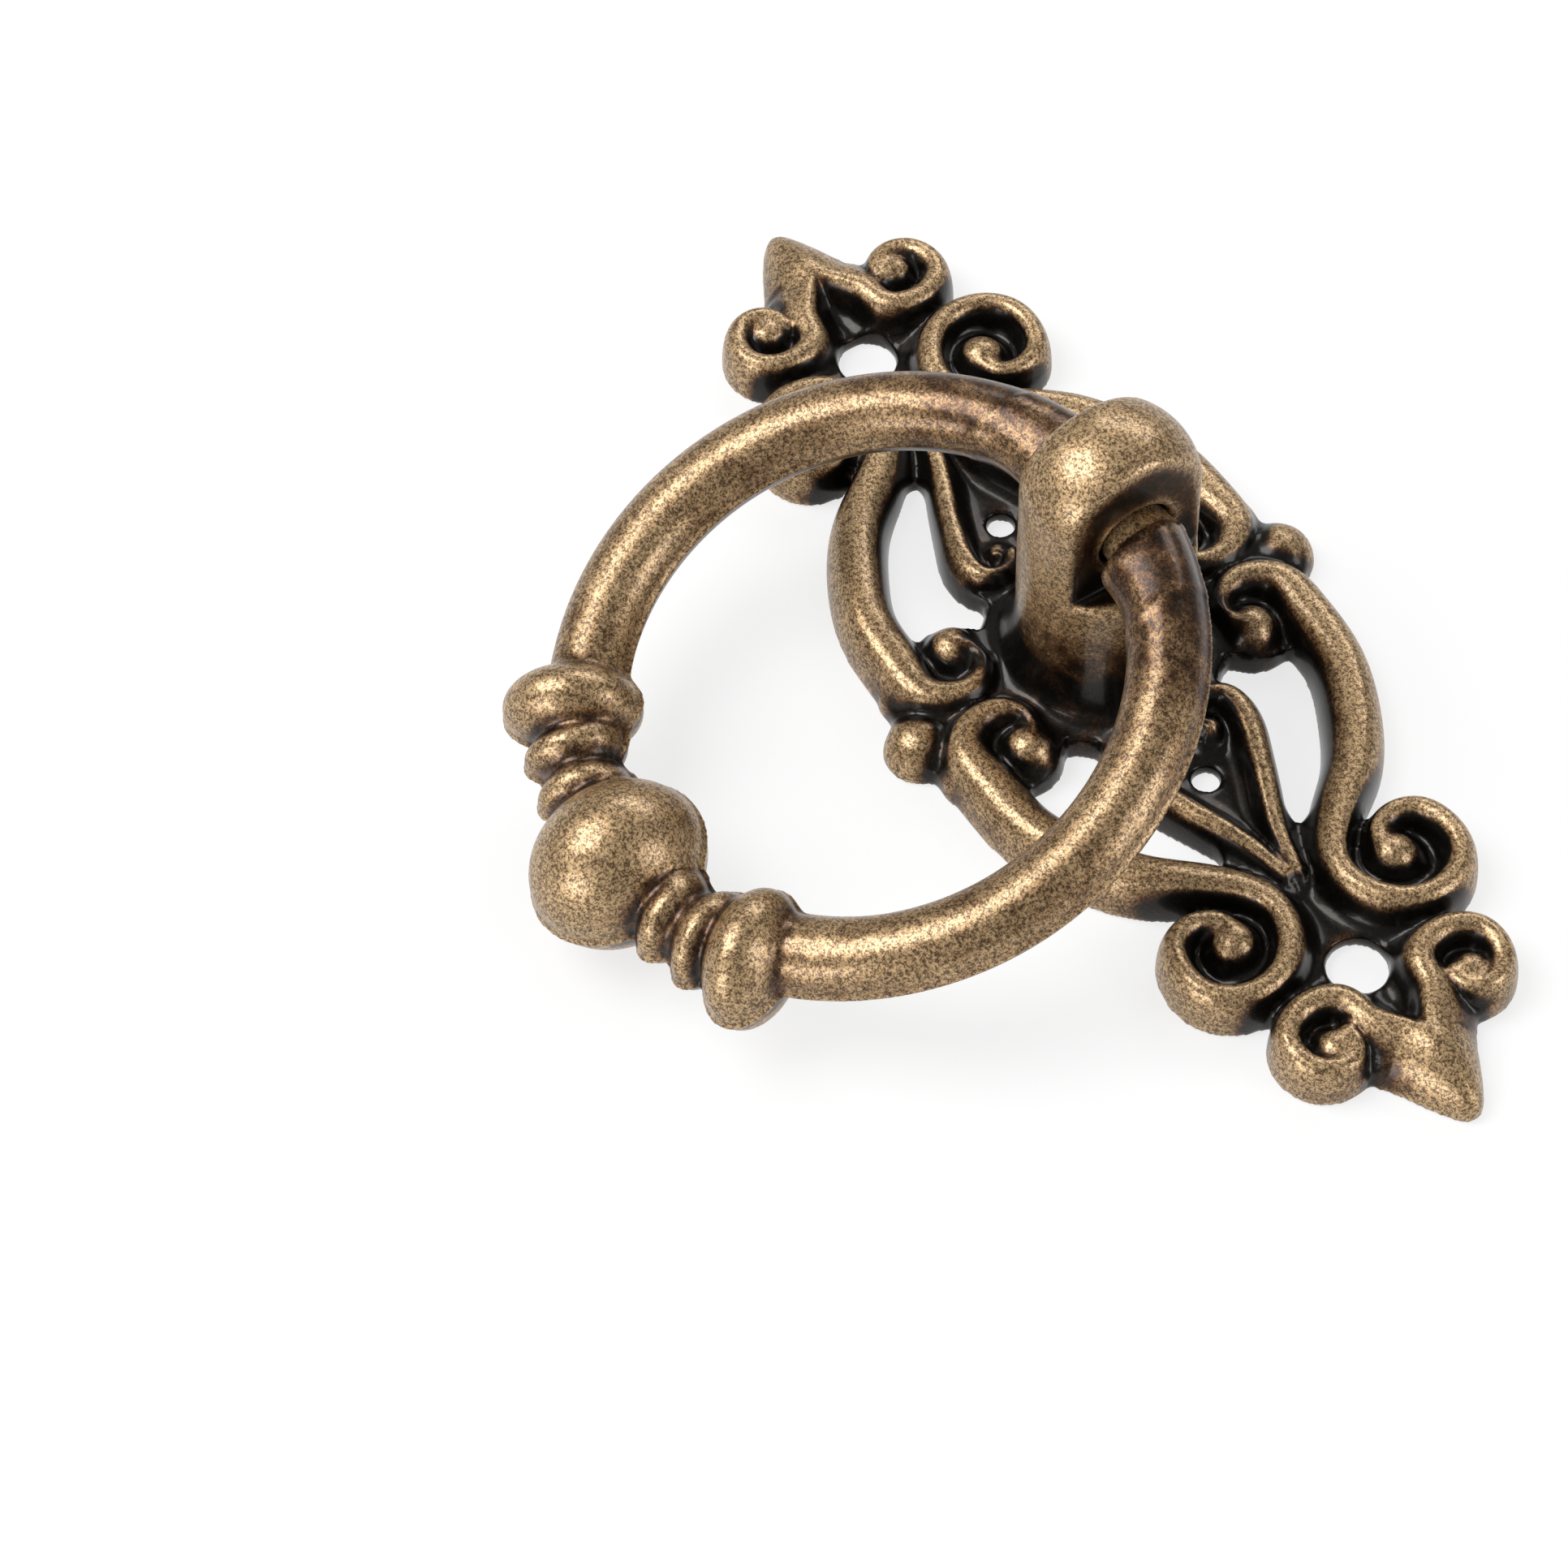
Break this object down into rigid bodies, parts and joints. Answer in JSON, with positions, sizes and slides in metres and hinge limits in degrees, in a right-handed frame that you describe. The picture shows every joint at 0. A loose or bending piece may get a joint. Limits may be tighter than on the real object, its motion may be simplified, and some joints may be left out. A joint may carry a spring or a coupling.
{
  "type": "ring pull handle",
  "caption": "Antique-brass ring pull for drawers and cabinets: pierced scroll backplate with a round post and a beaded ring that swings on it.",
  "frame": {"origin": "centre of the backplate's flat back face, on the post's axis", "axes": "+Z out of the door or drawer front, along the post; +X along the plate through both screw holes; the ring hangs towards -Y"},
  "size_m": [0.1034, 0.0739, 0.0304],
  "materials": {
    "antique_plate": "dark antique patina with rubbed highlights",
    "antique_ring": "speckled antique patina, satin"
  },
  "bodies": {
    "backplate_body": {"backplate": "antique_plate"},
    "ring_body": {"ring": "antique_ring"}
  },
  "joints": [
    {"name": "ring_swing", "type": "hinge", "parent": "backplate_body", "child": "ring_body", "pos_m": [0, 0, 0.0211], "axis": [-1, 0, 0], "range_deg": [0, 145]}
  ]
}
